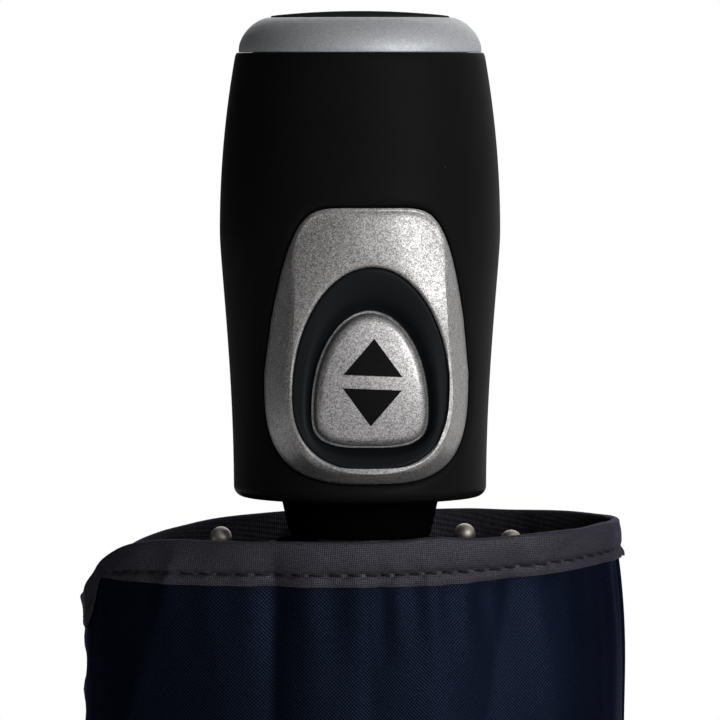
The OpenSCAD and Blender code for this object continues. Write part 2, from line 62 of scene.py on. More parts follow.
def smooth(t):
    """0 below 0, 1 above 1, and a smooth step between."""
    t = min(max(t, 0.0), 1.0)
    return t * t * (3 - 2 * t)


def mix(a, b, t):
    return a + (b - a) * t


def spow(value, power):
    """A power that keeps the sign of its base."""
    return math.copysign(abs(value) ** power, value)


def wander(x, y, z, seed=0.0):
    """Smooth noise from -1 to 1."""
    return noise.noise(Vector((x + seed, y - seed, z)))


def circle(radius, z, count):
    turns = [TURN * i / count for i in range(count)]
    return [(radius * math.cos(a), radius * math.sin(a), z) for a in turns]


def add(name, rows, body, look, *nodes, loop=False, uv=None, crease=40, copies=1):
    """A piece from a grid of points: rows of equally many, closed round, and end to end if loop.

    It rides on the body, stands for the CAD nodes and takes the material of the look, which is (material
    slot, material).
    With copies, the rows are that many grids, one after another.
    """
    count, tall = len(rows[0]), len(rows) // copies
    faces = []
    for first in range(0, len(rows), tall):
        for j in range(tall if loop else tall - 1):
            low, high = (first + j) * count, (first + (j + 1) % tall) * count
            for i in range(count):
                n = (i + 1) % count
                faces.append((low + i, low + n, high + n, high + i))
    mesh = bpy.data.meshes.new(name)
    mesh.from_pydata([p for row in rows for p in row], [], faces)
    if uv:
        lay_cloth(mesh, rows, uv)
    return finish_piece(name, mesh, body, look, nodes, crease)


def lay_cloth(mesh, rows, uv):
    """Gives the mesh the map cloth, in metres: uv(column, row) of each corner, with the seam left open."""
    count = len(rows[0])
    layer = mesh.uv_layers.new(name="cloth")
    for face in mesh.polygons:
        columns = [mesh.loops[c].vertex_index % count for c in face.loop_indices]
        over_seam = max(columns) - min(columns) > count // 2
        for c, column in zip(face.loop_indices, columns):
            row = mesh.loops[c].vertex_index // count
            layer.data[c].uv = uv(column + count if over_seam and column < count // 2 else column, row)


def finish_piece(name, mesh, body, look, nodes=(), crease=40):
    """Closes poles, turns the faces outwards, shades them smooth up to the crease angle and binds it."""
    bm = bmesh.new()
    bm.from_mesh(mesh)
    bmesh.ops.remove_doubles(bm, verts=bm.verts, dist=1e-7)
    bmesh.ops.recalc_face_normals(bm, faces=bm.faces)
    bm.to_mesh(mesh)
    bm.free()
    mesh.shade_smooth()
    mesh.set_sharp_from_angle(angle=math.radians(crease))
    piece = bpy.data.objects.new(name, mesh)
    bpy.context.collection.objects.link(piece)
    slot_name, material = look
    mesh.materials.append(material)
    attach(piece, body)
    if nodes:
        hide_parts(*nodes)
    return piece


def lathe(name, profile, body, look, *nodes, count=192, crease=40, loop=True):
    """A piece turned about the shaft's axis from (radius, height) points."""
    return add(name, [circle(r, z, count) for r, z in profile], body, look, *nodes, loop=loop, crease=crease)


def arc(radius_x, radius_z, cx, cz, start, end, steps):
    """(x, z) points along an arc, angles in degrees."""
    angles = [math.radians(mix(start, end, i / steps)) for i in range(steps + 1)]
    return [(cx + radius_x * math.cos(a), cz + radius_z * math.sin(a)) for a in angles]


# ------------------------------------------------------------------ materials


class Graph:
    """A node tree, with short ways to add, set and link its nodes."""

    def __init__(self, tree):
        self.nodes = tree.nodes
        self.links = tree.links

    def node(self, kind, **values):
        made = self.nodes.new(kind)
        for key, value in values.items():
            setattr(made, key, value)
        return made

    def link(self, out, into):
        self.links.new(out, into)

    def math(self, operation, a, b=None):
        made = self.node("ShaderNodeMath", operation=operation)
        for socket, value in zip(made.inputs, (a, b)):
            if value is None:
                continue
            if isinstance(value, (int, float)):
                socket.default_value = value
            else:
                self.link(value, socket)
        return made.outputs[0]

    def range(self, value, low, high, into_low, into_high):
        made = self.node("ShaderNodeMapRange")
        self.link(value, made.inputs["Value"])
        for socket, number in zip(made.inputs[1:5], (low, high, into_low, into_high)):
            socket.default_value = number
        return made.outputs[0]


class Look(Graph):
    """One procedural material: a Principled shader, and what drives its colour, roughness and bump."""

    def __init__(self, name, color, roughness, **sockets):
        self.material = bpy.data.materials.new(name)
        self.material.use_nodes = True
        super().__init__(self.material.node_tree)
        self.shader = self.nodes["Principled BSDF"]
        self.color = (*color, 1.0)
        self.shader.inputs["Base Color"].default_value = self.color
        self.shader.inputs["Roughness"].default_value = roughness
        for socket, value in sockets.items():
            self.shader.inputs[socket.replace("_", " ")].default_value = value
        self.material.diffuse_color = self.color
        self.bump = None

    def place(self, scale=(1, 1, 1), turn=0.0, cloth=False):
        """Object coordinates in metres, or the cloth's own, scaled and turned about Z."""
        source = self.node("ShaderNodeUVMap", uv_map="cloth") if cloth else self.node("ShaderNodeTexCoord")
        mapping = self.node("ShaderNodeMapping")
        mapping.inputs["Scale"].default_value = scale
        mapping.inputs["Rotation"].default_value = (0, 0, turn)
        self.link(source.outputs["UV" if cloth else "Object"], mapping.inputs["Vector"])
        return mapping.outputs[0]

    def noise(self, scale, detail=2.0, stretch=(1, 1, 1), cloth=False):
        made = self.node("ShaderNodeTexNoise")
        made.inputs["Scale"].default_value = scale
        made.inputs["Detail"].default_value = detail
        self.link(self.place(stretch, cloth=cloth), made.inputs["Vector"])
        return made.outputs["Fac"]

    def rough(self, value, low, high):
        """Roughness from low to high, as a 0 to 1 value says."""
        self.link(self.range(value, 0.3, 0.7, low, high), self.shader.inputs["Roughness"])
        return self

    def tint(self, value, low, high, spread=(0.3, 0.7)):
        """Colour times low to high, as a value says."""
        scaled = self.node("ShaderNodeVectorMath", operation="SCALE")
        source = self.shader.inputs["Base Color"]
        if source.is_linked:
            self.link(source.links[0].from_socket, scaled.inputs[0])
        else:
            scaled.inputs[0].default_value = self.color[:3]
        self.link(self.range(value, *spread, low, high), scaled.inputs["Scale"])
        self.link(scaled.outputs[0], source)
        return self

    def relief(self, value, depth, strength=1.0):
        """Bump of that depth in metres, over any bump that is there already."""
        made = self.node("ShaderNodeBump")
        made.inputs["Distance"].default_value = depth
        made.inputs["Strength"].default_value = strength
        self.link(value, made.inputs["Height"])
        if self.bump:
            self.link(self.bump, made.inputs["Normal"])
        self.bump = made.outputs[0]
        self.link(self.bump, self.shader.inputs["Normal"])
        return self

    def weave(self, period, turn, depth, painted_thread_shade):
        """Threads of a plain weave, over and under: relief, painted highlight on their tops, painted shade
        between.
        """
        parts = self.node("ShaderNodeSeparateXYZ")
        self.link(self.place((TURN / period, TURN / period, 1), turn, cloth=True), parts.inputs[0])
        across = self.math("SINE", parts.outputs[0])
        along = self.math("SINE", parts.outputs[1])
        height = self.math("MULTIPLY", across, along)
        self.relief(height, depth)
        # Painted highlight and shade: the thread tops lighter and the hollows between them darker.
        self.tint(height, 1 - painted_thread_shade, 1 + painted_thread_shade, (-1, 1))
        return self


def moulded(name, color, roughness, grain=0.00001, spec=0.3):
    """Moulded plastic: fine spark-eroded grain and uneven sheen."""
    look = Look(name, color, roughness, Specular_IOR_Level=spec)
    look.rough(look.noise(60), roughness - 0.06, roughness + 0.08)
    look.relief(look.noise(4500, 3), grain)
    return look.material


def soft_touch():
    """The grip's lacquer: deep black, silky, with faint rubbed patches and a few specks of dust."""
    look = Look("soft_touch_lacquer", (0.0055, 0.0058, 0.0056), 0.4, Specular_IOR_Level=0.015)
    look.rough(look.noise(45, 4), 0.36, 0.5)
    look.tint(look.noise(25, 3), 0.85, 1.2)
    specks = look.node("ShaderNodeTexVoronoi")
    specks.inputs["Scale"].default_value = 140
    look.link(look.place(), specks.inputs["Vector"])
    look.tint(specks.outputs["Distance"], 7.0, 1.0, (0.012, 0.03))
    look.relief(look.noise(3800, 3), 0.000006)
    return look.material


def flake_paint(name, color, roughness, flake_glint=0.25, metallic=0.2):
    """Metallic lacquer: small flakes, each tilted by a bump and painted lighter or darker as its glint."""
    look = Look(name, color, roughness, Metallic=metallic, Specular_IOR_Level=0.2)
    flakes = look.node("ShaderNodeTexVoronoi")
    flakes.inputs["Scale"].default_value = 7000
    look.link(look.place(), flakes.inputs["Vector"])
    shade = look.node("ShaderNodeSeparateColor")
    look.link(flakes.outputs["Color"], shade.inputs[0])
    # Painted glints: each flake a little lighter or darker, as if it caught the light.
    look.tint(shade.outputs[0], 1 - flake_glint, 1 + flake_glint, (0, 1))
    look.tint(look.noise(900, 4), 0.97, 1.03)
    look.rough(look.noise(1500, 3), roughness - 0.07, roughness + 0.07)
    look.relief(shade.outputs[1], 0.00002, 0.6)
    return look.material


def plated(name, color, roughness, brushed=0.0):
    """Plated or drawn steel, with the fine lines of its drawing and dull patches."""
    look = Look(name, color, roughness, Metallic=0.9)
    look.rough(look.noise(250, 4), roughness - 0.08, roughness + 0.14)
    look.tint(look.noise(120, 4), 0.8, 1.1)
    if brushed:
        look.relief(look.noise(900, 2, (1, 1, 0.02)), brushed)
    return look.material


def woven(name, color, period, turn, depth, painted_thread_shade, shine=0.5, fade=0.12):
    """Synthetic cloth: its weave with painted highlight and shade, a satin shine in its own colour, fine
    painted glints and faint uneven dye.
    """
    look = Look(name, color, 0.42, Metallic=shine, Specular_IOR_Level=0.01,
                Specular_Tint=(0.2, 0.25, 0.4, 1.0))
    look.weave(period, turn, depth, painted_thread_shade)
    look.tint(look.noise(70, 4, cloth=True), 1 - fade, 1 + fade)
    # Painted glints: fine flecks lighter and darker at random, for the cloth's sparkle.
    look.tint(look.noise(2600, 2, cloth=True), 0.8, 1.3)
    look.relief(look.noise(260, 4, cloth=True), 0.00006)
    return look.material


def print_ink():
    look = Look("arrow_ink", (0.0035, 0.0036, 0.0036), 0.5, Specular_IOR_Level=0.04)
    look.rough(look.noise(400, 3), 0.42, 0.6)
    look.relief(look.noise(3000, 2), 0.000008)
    return look.material


NAVY = (0.0044, 0.0064, 0.0135)
LOOKS = {
    "grip_plastic": soft_touch(),
    "ring_paint": flake_paint("silver_lacquer", (0.37, 0.38, 0.395), 0.52, 0.14, 0.4),
    "disc_plastic": moulded("disc_plastic", (0.024, 0.028, 0.027), 0.5, spec=0.0),
    "bezel_paint": flake_paint("warm_grey_metallic", (0.27, 0.263, 0.26), 0.38, 0.5, 0.6),
    "insert_plastic": moulded("insert_plastic", (0.0058, 0.0072, 0.0084), 0.45, 0.000012, 0.06),
    "button_paint": flake_paint("button_metallic", (0.29, 0.283, 0.282), 0.36, 0.5, 0.65),
    "arrow_print": print_ink(),
    "spring_steel": plated("spring_steel", (0.42, 0.42, 0.41), 0.35),
    "latch_plastic": moulded("acetal", (0.35, 0.34, 0.3), 0.5),
    "core_plastic": moulded("core_nylon", (0.03, 0.03, 0.03), 0.55),
    "neck_plastic": moulded("neck_plastic", (0.0016, 0.0016, 0.0016), 0.5, 0.000006, 0.0),
    "fastener_steel": plated("zinc_steel", (0.5, 0.5, 0.47), 0.35),
    "tube_steel": plated("plated_tube", (0.42, 0.42, 0.41), 0.34, 0.0000012),
    "shaft_paint": moulded("shaft_lacquer", (0.02, 0.02, 0.02), 0.35),
    "crown_plastic": moulded("crown_nylon", (0.02, 0.02, 0.02), 0.5),
    "runner_plastic": moulded("runner_nylon", (0.004, 0.004, 0.004), 0.6, spec=0.0),
    "rib_steel": plated("rib_steel", (0.2, 0.19, 0.18), 0.5, 0.000004),
    "tip_metal": plated("tip_nickel", (0.3, 0.28, 0.25), 0.42),
    "press_stud": plated("stud_plate", (0.55, 0.55, 0.52), 0.28),
    "canopy_cloth": woven("canopy_cloth", NAVY, 0.45 * MM, 0.0, 0.00001, 0.3),
    "cover_cloth": woven("cover_cloth", NAVY, 0.5 * MM, 0.0, 0.000024, 0.75, 0.75),
    "stitching": woven("stitching", (0.013, 0.012, 0.015), 0.3 * MM, 0.5, 0.00001, 0.3, 0.1),
    "cover_tape": woven("bias_tape", (0.036, 0.034, 0.042), 0.4 * MM, math.radians(49), 0.000024, 0.5, 0.4),
}


def look_of(slot_name):
    return slot_name, LOOKS[slot_name]


def dress_frame():
    """Every CAD node takes its slot's material."""
    for part in frame["record"]["subparts"]:
        node = frame["nodes"][part["node"]]
        for place in node.material_slots:
            place.material = LOOKS[part["material_slot"]]


# ---------------------------------------------------------------- the handle

GRIP_LOW, GRIP_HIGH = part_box("grip_shell")
GRIP_Z = GRIP_LOW[2]
RING_Z = GRIP_HIGH[2]
GRIP_R = GRIP_HIGH[0]
GRIP_LEN = RING_Z - GRIP_Z
GRIP_TOP_R = 16.8 * MM
GRIP_FOOT_R = 17.1 * MM
GRIP_WALL = 2.2 * MM
WAIST_Z = GRIP_Z + 0.6 * GRIP_LEN
EDGE_R = 1.4 * MM
NECK_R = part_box("neck_collar")[1][0]
NECK_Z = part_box("neck_collar")[0][2]
FACE_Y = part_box("button_bezel")[0][1]
BACK_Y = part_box("button_bezel")[1][1]
BUTTON_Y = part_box("push_button")[0][1]

# Height of each outline's widest place, and how far the inner two sit towards +X.
BEZEL_Z = GRIP_Z + 17.2 * MM
CUTOUT_Z = GRIP_Z + 14.6 * MM
BUTTON_Z = GRIP_Z + 12.6 * MM
CUTOUT_X = 0.12 * MM
BUTTON_X = 0.1 * MM


def grip_radius(z):
    """The barrel: one arc above the waist, and a soft taper below it."""
    if z >= WAIST_Z:
        return GRIP_R - (GRIP_R - GRIP_TOP_R) * ((z - WAIST_Z) / (RING_Z - WAIST_Z)) ** 2
    soft = 0.1
    swing = math.sin(math.pi / 2 * (WAIST_Z - z) / (WAIST_Z - GRIP_Z))
    share = (math.sqrt(swing * swing + soft * soft) - soft) / (math.sqrt(1 + soft * soft) - soft)
    return GRIP_R - (GRIP_R - GRIP_FOOT_R) * share


def grip_front(x, z):
    """The y of the grip's surface, on the button's side."""
    return -math.sqrt(max(grip_radius(z) ** 2 - x * x, 0))


def egg(half, up, down, up_power, down_power, taper, angle):
    """(x, z) on an egg-like outline. Angle 0 is its top, and it runs towards +X."""
    c, s = math.cos(angle), math.sin(angle)
    power = 2 / (up_power if c >= 0 else down_power)
    z = (up if c >= 0 else down) * spow(c, power)
    narrow = 1 - taper * (z / up) ** 1.4 if c >= 0 else 1
    return half * spow(s, power) * narrow, z


def bezel_edge(inset, angle):
    half, up, down = 13.65 * MM, 22.2 * MM, 14.5 * MM
    x, z = egg(half - inset, up - inset, down - inset, 6.6, 3.2, 0.29, angle)
    return x, BEZEL_Z + z


def cutout_edge(inset, angle):
    half, up, down = 10.5 * MM, 17 * MM, 10 * MM
    x, z = egg(half - inset, up - inset, down - inset, 2, 2.4, 0, angle)
    return x + CUTOUT_X, CUTOUT_Z + z


def button_edge(inset, angle):
    half, up, down = 7.5 * MM, 12.8 * MM, 4.8 * MM
    x, z = egg(half - inset, up - inset, down - inset, 2, 3.3, 0, angle)
    return x + BUTTON_X, BUTTON_Z + z


def bezel_face(x, z):
    """The y of the bezel's front: proud of the grip low down, and flush with it at its top edge."""
    rise = smooth((z - GRIP_Z - 25 * MM) / (14 * MM))
    bend = mix(30, 19.5, rise) * MM
    return mix(FACE_Y, -grip_radius(z) - 0.05 * MM, rise) + bend - math.sqrt(bend * bend - x * x)


EDGE_COUNT = 256


def around(point):
    """One row of an outline: point(angle) for angles all round."""
    return [point(TURN * i / EDGE_COUNT) for i in range(EDGE_COUNT)]


def make_grip():
    heights = [mix(GRIP_Z + EDGE_R, RING_Z - 0.5 * MM, i / 90) for i in range(91)]
    side = [(grip_radius(z), z) for z in heights]
    foot = arc(EDGE_R, EDGE_R, grip_radius(GRIP_Z + EDGE_R) - EDGE_R, GRIP_Z + EDGE_R, -88, -4, 10)
    lip_r = 0.35 * MM
    lip = arc(lip_r, lip_r, GRIP_TOP_R - lip_r, RING_Z - lip_r, 10, 90, 6)
    inside = [(GRIP_TOP_R - GRIP_WALL, RING_Z), (GRIP_TOP_R - GRIP_WALL, RING_Z - 5 * MM),
              (GRIP_FOOT_R - GRIP_WALL, GRIP_Z + GRIP_WALL), (NECK_R + 0.1 * MM, GRIP_Z + GRIP_WALL)]
    dish = [(NECK_R + 0.1 * MM, GRIP_Z + 0.35 * MM), (NECK_R + 1.5 * MM, GRIP_Z + 0.15 * MM)]
    profile = dish + foot + side + lip + inside
    grip = lathe("grip", profile, "handle", look_of("grip_plastic"), "grip_shell", count=288)
    carve(grip, grip_opening())


def grip_opening():
    """The solid that is cut out of the grip for the bezel. Its edge is rolled where it meets the surface."""
    steps = [(-6, 2.2), (-0.2, 2.2), (-0.03, 1.3), (0.03, 0.9),
             (0.12, 0.55), (0.28, 0.3), (0.6, 0.12), (1.2, 0.1)]

    def row(sink, grow):
        def point(angle):
            x, z = bezel_edge(-grow * MM, angle)
            return x, grip_front(x, z) + sink * MM, z
        return around(point)

    def back(angle):
        x, z = bezel_edge(-0.1 * MM, angle)
        return x, BACK_Y + 0.05 * MM, z

    rows = [row(*step) for step in steps] + [around(back)]
    bm = bmesh.new()
    grid = [[bm.verts.new(p) for p in line] for line in rows]
    for upper, lower in zip(grid, grid[1:]):
        for i in range(EDGE_COUNT):
            n = (i + 1) % EDGE_COUNT
            bm.faces.new((upper[i], upper[n], lower[n], lower[i]))
    bm.faces.new(grid[0])
    bm.faces.new(grid[-1])
    bmesh.ops.recalc_face_normals(bm, faces=bm.faces)
    mesh = bpy.data.meshes.new("opening")
    bm.to_mesh(mesh)
    bm.free()
    return bpy.data.objects.new("opening", mesh)


def carve(piece, tool):
    """Cuts the tool's solid out of the piece, and removes the tool."""
    bpy.context.collection.objects.link(tool)
    cut = piece.modifiers.new("cut", "BOOLEAN")
    cut.operation = "DIFFERENCE"
    cut.solver = "EXACT"
    cut.object = tool
    seen = piece.evaluated_get(bpy.context.evaluated_depsgraph_get())
    mesh = bpy.data.meshes.new_from_object(seen)
    piece.modifiers.clear()
    piece.data = mesh
    mesh.shade_smooth()
    mesh.set_sharp_from_angle(angle=math.radians(40))
    bpy.data.objects.remove(tool)


def make_ring():
    top_r = GRIP_TOP_R - 4.6 * MM
    side_r = GRIP_TOP_R - 0.4 * MM
    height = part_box("end_ring")[1][2] - RING_Z
    base = RING_Z + 0.03 * MM
    corner = arc(0.15 * MM, 0.15 * MM, side_r - 0.15 * MM, base + 0.15 * MM, -90, 0, 4)
    wide, tall = side_r - top_r - 0.2 * MM, height - 0.4 * MM
    turns = [math.radians(88 * i / 28) for i in range(29)]
    shoulder = [(top_r + 0.2 * MM + wide * spow(math.cos(a), 1.28),
                 RING_Z + 0.4 * MM + tall * spow(math.sin(a), 1.12)) for a in turns]
    ledge_r, ledge_z = top_r - 2 * MM, RING_Z + height - 1.2 * MM
    skirt_r, skirt_z = GRIP_TOP_R - GRIP_WALL - 0.1 * MM, RING_Z - 2.5 * MM
    inner = [(top_r, RING_Z + height - 0.15 * MM), (top_r, ledge_z), (ledge_r, ledge_z),
             (ledge_r, skirt_z), (skirt_r, skirt_z), (skirt_r, base)]
    lathe("ring", corner + shoulder + inner, "handle", look_of("ring_paint"), "end_ring")


def make_disc():
    ring_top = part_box("end_ring")[1][2]
    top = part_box("end_disc")[1][2]
    radius = GRIP_TOP_R - 4.7 * MM
    base = ring_top - 1.1 * MM
    edge_z = ring_top + 0.25 * MM
    edge = arc(0.3 * MM, 0.3 * MM, radius - 0.3 * MM, edge_z - 0.3 * MM, 0, 80, 5)
    steps = [0.08 + 0.92 * i / 24 for i in range(25)]
    dome = [(radius * (1 - t), edge_z + (top - edge_z) * (1 - (1 - t) ** 2)) for t in steps]
    profile = [(0, base), (radius, base)] + edge + dome
    lathe("disc", profile, "handle", look_of("disc_plastic"), "end_disc", loop=False)


def make_bezel():
    """Its flank rises from the grip, turns over a soft crease into the face, and ends in a thin lip."""
    def flank(angle):
        x, z = bezel_edge(0, angle)
        wide = mix(2.6, 1.7, smooth((GRIP_Z + 8 * MM - z) / (6 * MM)))
        return mix(wide, 0.5, smooth((z - GRIP_Z - 26 * MM) / (10 * MM))) * MM

    def low(sink):
        def point(angle):
            x, z = bezel_edge(0, angle)
            return x, grip_front(x, z) + sink * MM, z
        return point

    def slope(t, bulge):
        """t runs from the grip's surface to the crease."""
        def point(angle):
            x0, z0 = bezel_edge(0, angle)
            x1, z1 = bezel_edge(flank(angle), angle)
            y0, y1 = grip_front(x0, z0) - 0.05 * MM, bezel_face(x1, z1)
            return mix(x0, x1, t), mix(y0, y1, t) - bulge * MM, mix(z0, z1, t)
        return point

    def face(t):
        """t runs from the crease to the cutout's edge."""
        def point(angle):
            x0, z0 = bezel_edge(flank(angle) + 0.45 * MM, angle)
            x1, z1 = cutout_edge(-0.42 * MM, angle)
            x, z = mix(x0, x1, t), mix(z0, z1, t)
            return x, bezel_face(x, z), z
        return point

    def lip(inset, sink):
        def point(angle):
            x, z = cutout_edge(inset * MM, angle)
            return x, bezel_face(x, z) + sink * MM, z
        return point

    def back(edge):
        def point(angle):
            x, z = edge(0, angle)
            return x, BACK_Y, z
        return point

    rows = [around(back(bezel_edge)), around(low(1.0)), around(low(0.15))]
    rows += [around(slope(t, bulge)) for t, bulge in
             ((0.0, 0), (0.2, 0.05), (0.4, 0.09), (0.6, 0.12), (0.8, 0.12), (0.92, 0.08))]
    rows += [around(face(t)) for t in (0.0, 0.06, 0.15, 0.3, 0.45, 0.6, 0.75, 0.88, 1.0)]
    rows += [around(lip(*step)) for step in
             ((-0.3, 0.03), (-0.2, 0.1), (-0.1, 0.2), (-0.02, 0.34), (0, 0.5), (0, 1.2))]
    rows += [around(back(cutout_edge))]
    add("bezel", rows, "handle", look_of("bezel_paint"), "button_bezel", loop=True, crease=50)


def make_insert():
    """A dish round the button: a narrow rim, a long slope, and a rounded drop into the button's channel."""
    deep = FACE_Y + 3.6 * MM
    back = BACK_Y - 0.1 * MM
    gap = 0.32

    def dish(t, sink):
        def point(angle):
            x0, z0 = cutout_edge(0.04 * MM, angle)
            x1, z1 = button_edge(-gap * MM, angle)
            x, z = mix(x0, x1, t), mix(z0, z1, t)
            return x, mix(bezel_face(x0, z0), FACE_Y + 0.3 * MM, smooth(t)) + sink * MM, z
        return point

    def wall(edge, inset, y):
        def point(angle):
            x, z = edge(inset * MM, angle)
            return x, y, z
        return point

    steps = ((0.0, 0.85), (0.02, 0.62), (0.06, 0.55), (0.14, 0.6), (0.28, 0.78), (0.42, 1.0), (0.54, 1.25),
             (0.64, 1.55), (0.73, 1.95), (0.81, 2.4), (0.88, 2.8), (0.95, 3.1), (1.0, 3.2))
    rows = [around(wall(cutout_edge, 0.04, back))]
    rows += [around(dish(*step)) for step in steps]
    rows += [around(wall(button_edge, -gap, deep)), around(wall(cutout_edge, 0.9, deep)),
             around(wall(cutout_edge, 0.9, back))]
    add("insert", rows, "handle", look_of("insert_plastic"), "bezel_insert", loop=True, crease=60)


BUTTON_MID_Z = GRIP_Z + 16.2 * MM


def button_face(x, z):
    """The y of the button's crowned front."""
    return BUTTON_Y + 0.9 * MM * ((x / (7.6 * MM)) ** 2 + ((z - BUTTON_MID_Z) / (9.4 * MM)) ** 2)


def make_button():
    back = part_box("latch_plate")[0][1] - 0.1 * MM
    round_r = 1.1 * MM

    def edge(turn):
        """The rounded edge: turn runs from 0, at the side, to 90 degrees, on the face."""
        def point(angle):
            x, z = button_edge(round_r * (1 - math.cos(math.radians(turn))), angle)
            return x, button_face(x, z) + round_r * (1 - math.sin(math.radians(turn))), z
        return point

    def crown(share):
        def point(angle):
            x, z = button_edge(round_r, angle)
            x, z = x * share, mix(BUTTON_MID_Z, z, share)
            return x, button_face(x, z), z
        return point

    def side(grow, y):
        def point(angle):
            x, z = button_edge(-grow * MM, angle)
            return x, y, z
        return point

    flange, flange_y = 0.5, back - 0.9 * MM
    rows = [[(0, back, BUTTON_MID_Z)] * EDGE_COUNT]
    rows += [around(side(flange, back)), around(side(flange, flange_y)), around(side(0, flange_y))]
    rows += [around(edge(turn)) for turn in range(0, 91, 10)]
    rows += [around(crown(share / 12)) for share in range(11, -1, -1)]
    add("button", rows, "button", look_of("button_paint"), "push_button", crease=50)


def make_arrows():
    """Two printed arrowheads, a hair above the button's face, turned a little as printed."""
    cx, cz, roll = 0.2 * MM, GRIP_Z + 16.3 * MM, math.radians(-2.4)
    half, tall, gap = 3.95 * MM, 4.95 * MM, 0.88 * MM
    steps = 14
    bm = bmesh.new()
    for side in (1, -1):
        grid = []
        for j in range(steps + 1):
            width = half * (1 - j / steps)
            line = []
            for i in range(steps + 1):
                x, z = mix(-width, width, i / steps), side * (gap + tall * j / steps)
                px = cx + x * math.cos(roll) - z * math.sin(roll)
                pz = cz + x * math.sin(roll) + z * math.cos(roll)
                face = button_face(px, pz)
                line.append([bm.verts.new((px, face - lift * MM, pz)) for lift in (0.035, -0.02)])
            grid.append(line)
        for j in range(steps):
            for i in range(steps):
                quad = (grid[j][i], grid[j][i + 1], grid[j + 1][i + 1], grid[j + 1][i])
                bm.faces.new([v[0] for v in quad])
                bm.faces.new([v[1] for v in reversed(quad)])
        rim = grid[0] + [line[-1] for line in grid[1:]] + [line[0] for line in reversed(grid[1:-1])]
        for a, b in zip(rim, rim[1:] + rim[:1]):
            bm.faces.new((a[1], b[1], b[0], a[0]))
    mesh = bpy.data.meshes.new("arrows")
    bm.to_mesh(mesh)
    bm.free()
    finish_piece("arrows", mesh, "button", look_of("arrow_print"), ("button_arrows",))


def make_neck():
    """The collar: a plain frustum, hollow for the shaft, with a softened lower edge."""
    foot_r = 9.6 * MM
    bore = 6.2 * MM
    top = GRIP_Z + 2.1 * MM
    foot = arc(0.6 * MM, 0.6 * MM, foot_r - 0.6 * MM, NECK_Z + 0.6 * MM, -90, -12, 6)
    side = [(mix(foot_r + 0.05 * MM, NECK_R - 0.05 * MM, i / 8),
             mix(NECK_Z + 0.7 * MM, GRIP_Z + 0.1 * MM, i / 8)) for i in range(9)]
    profile = [(bore, NECK_Z)] + foot + side + [(NECK_R - 0.02 * MM, top), (bore, top)]
    lathe("neck", profile, "handle", look_of("neck_plastic"), "neck_collar")


# ------------------------------------------------------------- cover and tape

COVER_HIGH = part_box("cover")[1]
COVER_LEN = COVER_HIGH[2]
COVER_HALF = COVER_HIGH[0]
COVER_DEEP = COVER_HIGH[1]
CLOTH = 0.5 * MM
COLUMNS = 360
SEAM_COLUMN = COLUMNS // 2

# The cover's long folds, in millimetres: how far out, x at the mouth, drift towards -X for each
# millimetre down, and the width to the left and right of the fold.
FRONT_FOLDS = ((-1.9, -13.6, 0.01, 6.0, 2.4), (-1.7, 19.5, 0.16, 9.0, 7.0), (1.5, -25.66, 0.23, 3.4, 5.0),
               (-0.8, -1.5, -0.05, 5.0, 4.0), (-0.5, 29.0, -0.03, 4.0, 4.0))
BACK_FOLDS = ((-1.3, 9.0, 0.05, 3.0, 6.5), (-1.1, -17.0, -0.09, 8.0, 5.0), (1.0, 25.0, 0.1, 4.0, 6.0))


def cover_half(side, z):
    """Half width of the cover at a height, on the +X or -X side: it draws in at the mouth."""
    mouth = smooth((z - COVER_LEN + 26 * MM) / (26 * MM))
    foot = smooth(1 - z / (60 * MM))
    if side > 0:
        slack = math.exp(-((z - COVER_LEN + 27 * MM) / (16 * MM)) ** 2)
        return COVER_HALF - (0.4 + 1.6 * mouth ** 2 + 1.2 * foot + 0.7 * slack) * MM
    return COVER_HALF + (0.5 - 1.6 * foot) * MM


def cover_outline(angle, z):
    """(x, y) of the slack cloth's outline at a height, before its folds."""
    c, s = math.cos(angle), math.sin(angle)
    mouth = smooth((z - COVER_LEN + 40 * MM) / (40 * MM))
    power = 2 / (mix(2.0, 1.72, mouth) if c > 0 else 2.05)
    return cover_half(c, z) * spow(c, power), (COVER_DEEP - 0.2 * MM) * spow(s, power)


def fold_line(d, left, right):
    """1 at d = 0, with a sharp fold there, falling off over a width on either side."""
    width = left if d < 0 else right
    return math.exp(-(math.sqrt(d * d + 0.3 ** 2) - 0.3) / width)


def cover_fold(x, y, angle, z):
    """How far the cloth stands out from its outline there, in metres."""
    down = (COVER_LEN - z) / MM
    xm, zm = x / MM, z / MM
    folds, reach = (FRONT_FOLDS, 160) if y < 0 else (BACK_FOLDS, 170)
    fade = smooth(down / 8 + 0.2) * smooth(1.25 - down / reach)
    out = fade * sum(far * fold_line(xm - at + drift * down, left, right)
                     for far, at, drift, left, right in folds)
    gather = math.exp(-((down - 7) / 7) ** 2) if down > 7 else smooth(down / 7)
    pleats = math.sin(angle * 37 + 1.3 * math.sin(angle * 5)) * (0.6 + 0.4 * math.sin(angle * 3))
    out += 0.24 * gather * pleats
    out += 0.55 * wander(math.cos(angle) * 2.6, math.sin(angle) * 2.6, zm / 75, 3.1)
    out += 0.22 * wander(math.cos(angle) * 7, math.sin(angle) * 7, zm / 30, 8.7)
    slump = smooth(1 - zm / 75) * smooth(zm / 9)
    height = zm / 11 + math.sin(angle * 2)
    out += 0.9 * slump * wander(math.cos(angle) * 2.4, math.sin(angle) * 2.4, height, 5.5)
    seam = math.exp(-((angle - math.pi) / 0.09) ** 2)
    out += seam * (0.28 * math.sin(zm * 0.95) - 0.3 * math.exp(-(((zm - 197) / 9) ** 2)))
    return out * MM


